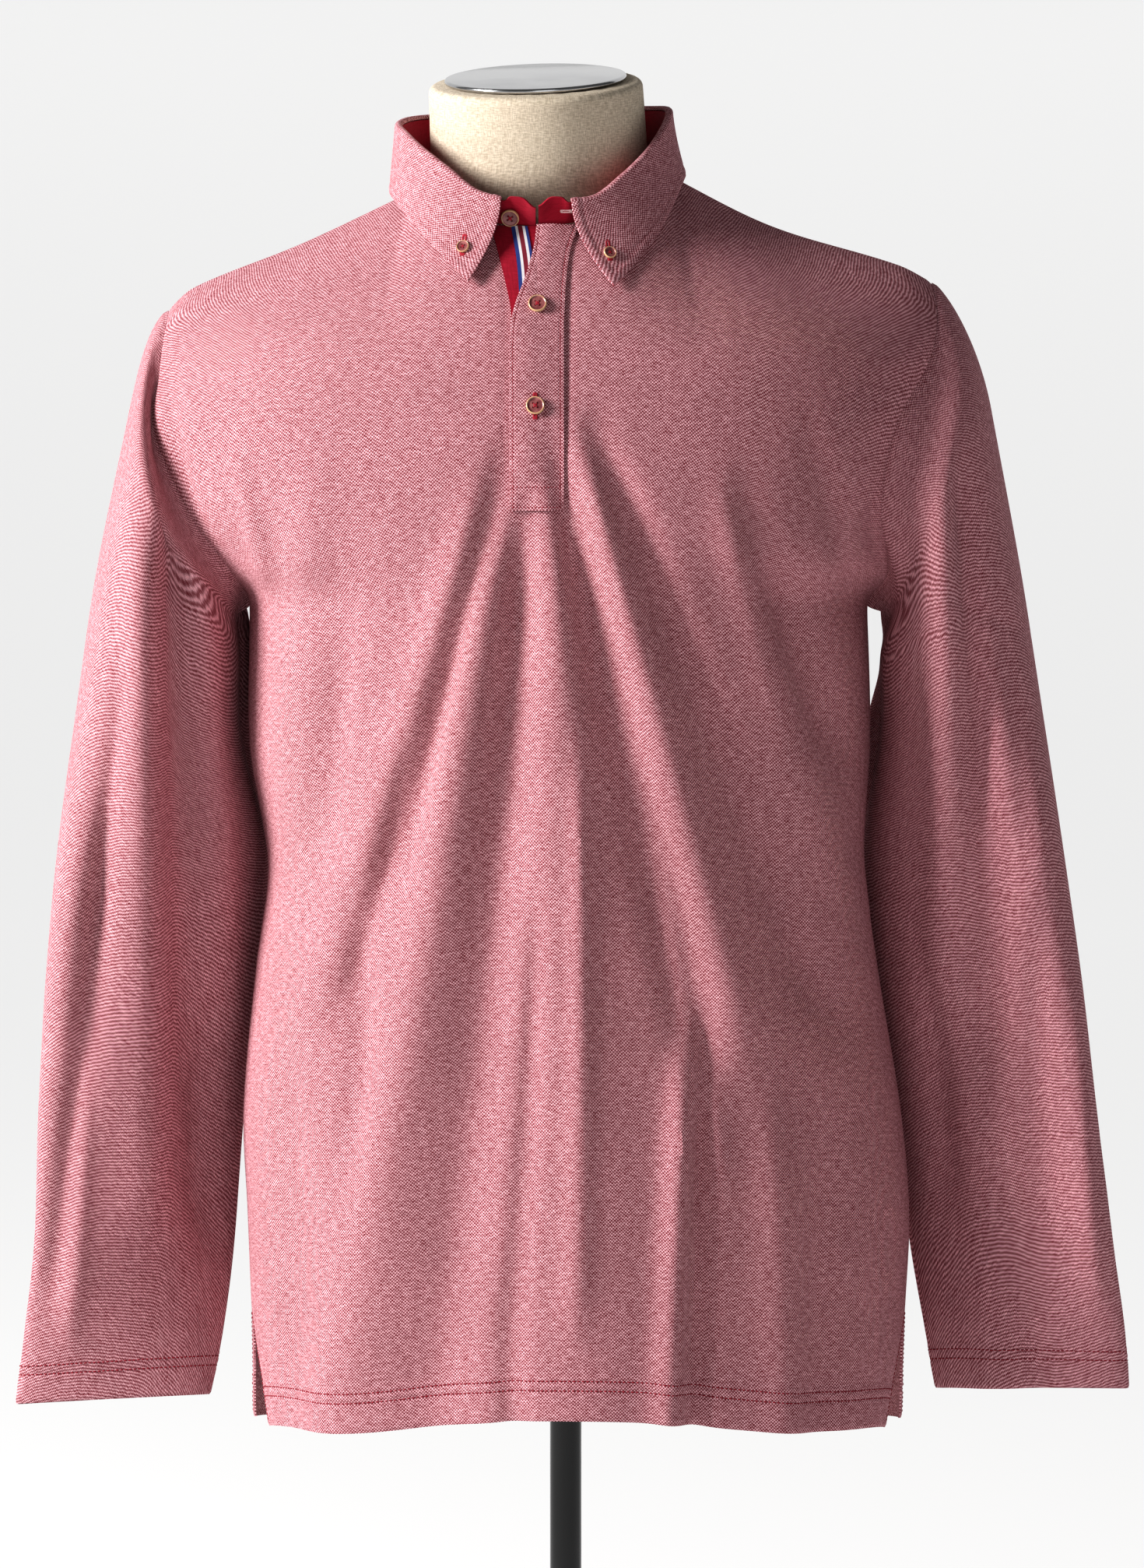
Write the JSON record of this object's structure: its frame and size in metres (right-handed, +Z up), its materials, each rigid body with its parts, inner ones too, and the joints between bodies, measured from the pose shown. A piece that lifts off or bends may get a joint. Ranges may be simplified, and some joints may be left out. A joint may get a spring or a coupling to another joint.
{
  "type": "long-sleeve polo shirt on a limbless dress form",
  "caption": "Long-sleeve knitted polo shirt with a buttoned collar, worn by a smooth dress form on a pole and a round base.",
  "frame": {"origin": "middle of the round base's underside, on the floor, under the pole", "axes": "+Z up, -Y the way the shirt's front faces, +X to the right as seen from in front (the wearer's left)"},
  "size_m": [0.7062, 0.3, 1.1321],
  "materials": {
    "pique": "two-tone birdseye knit, crimson and light pink, matte",
    "crimson_twill": "plain crimson weave, matte",
    "ribbon": "striped ribbon tape, low sheen",
    "button": "horn-like, polished, four holes",
    "linen": "natural linen cover, matte",
    "steel": "polished disc",
    "black_paint": "black, satin to gloss"
  },
  "bodies": {
    "root": {"front": "pique", "back": "pique", "sleeve_left": "pique", "sleeve_right": "pique", "collar": "pique", "placket_outer": "pique", "collar_stand": "crimson_twill", "placket_under": "crimson_twill", "ribbon_tape": "ribbon", "button_stand": "button", "button_upper": "button", "button_lower": "button", "button_tip_left": "button", "button_tip_right": "button", "form_torso": "linen", "neck_cap": "steel", "pole": "black_paint", "base": "black_paint"}
  },
  "joints": []
}
